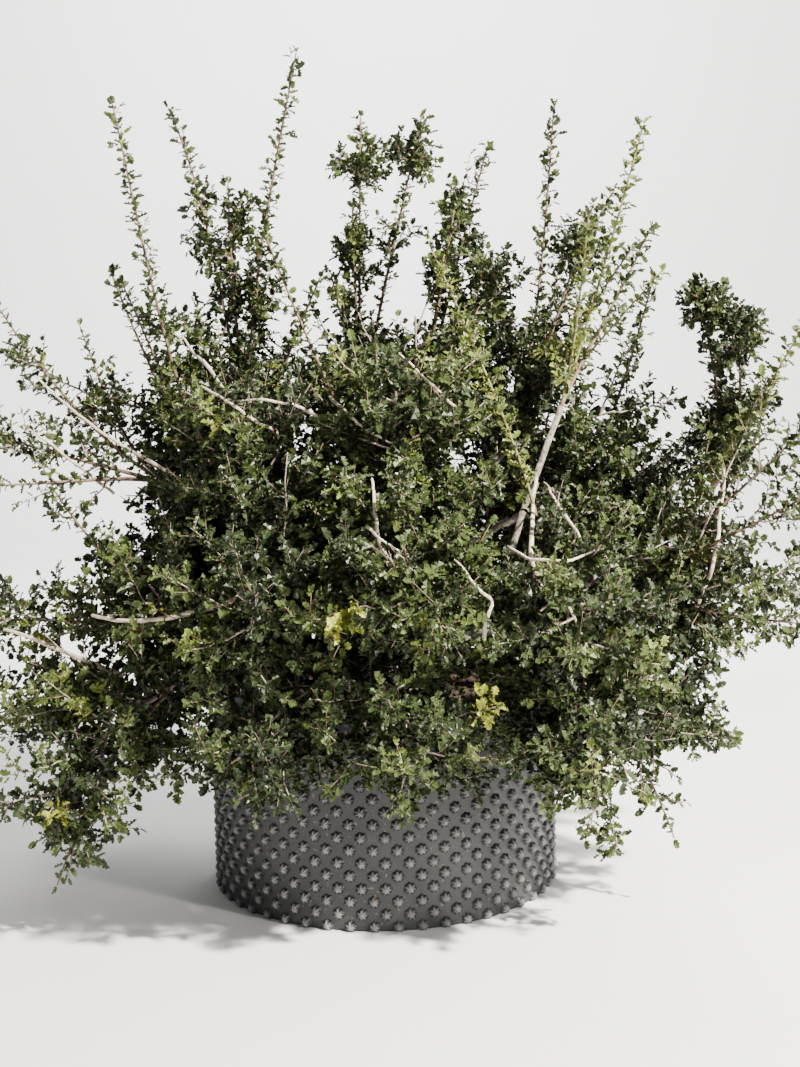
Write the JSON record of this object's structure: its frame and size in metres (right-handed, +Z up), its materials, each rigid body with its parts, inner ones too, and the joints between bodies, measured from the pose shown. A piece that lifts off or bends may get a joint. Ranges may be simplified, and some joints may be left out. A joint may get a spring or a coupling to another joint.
{
  "type": "potted kermes oak",
  "caption": "Dense evergreen shrub with small spiny leaves and slender upright shoots, many-stemmed from a short trunk, in a round studded pot filled with soil.",
  "frame": {"origin": "middle of the pot's flat underside, on the surface it stands on", "axes": "+Z up, +X towards the plant's right side as seen from the front, +Y towards its back; the front of the plant faces -Y"},
  "size_m": [1.249, 0.9763, 1.1949],
  "materials": {
    "pot_plastic": "semi-matt dark grey moulded plastic with rows of fluted studs, dusty",
    "soil": "rough damp bark compost",
    "bark": "pale grey-brown fissured bark",
    "foliage": "small stiff glossy dark green leaves with yellow-green new growth"
  },
  "bodies": {
    "root": {"bough_back_left": "bark", "bough_back_low": "bark", "bough_back_right": "bark", "bough_centre_back": "bark", "bough_centre_front": "bark", "bough_front": "bark", "bough_front_fork": "bark", "bough_front_left": "bark", "bough_front_low": "bark", "bough_left": "bark", "bough_left_back": "bark", "bough_left_droop": "bark", "bough_left_low": "bark", "bough_left_spread": "bark", "bough_right": "bark", "bough_right_back": "bark", "bough_right_front": "bark", "bough_right_low": "bark", "bough_right_spread": "bark", "bough_right_upright": "bark", "droop_left": "foliage", "low_back": "foliage", "low_back_left": "foliage", "low_back_right": "foliage", "low_front": "foliage", "low_front_left": "foliage", "low_front_right": "foliage", "low_right": "foliage", "middle_back": "foliage", "middle_back_left": "foliage", "middle_back_right": "foliage", "middle_front": "foliage", "middle_front_left": "foliage", "middle_front_right": "foliage", "middle_left": "foliage", "middle_left_front": "foliage", "middle_right": "foliage", "middle_right_back": "foliage", "plume_left": "foliage", "pot": "pot_plastic", "reach_left": "foliage", "reach_left_low": "foliage", "soil": "soil", "sprays_right": "foliage", "top_back": "foliage", "top_centre": "foliage", "top_left": "foliage", "top_right": "foliage", "trunk": "bark", "tuft_tower": "foliage", "upper_back": "foliage", "upper_front": "foliage", "upper_front_left": "foliage", "upper_left": "foliage", "upper_right": "foliage", "upper_right_front": "foliage"}
  },
  "joints": []
}
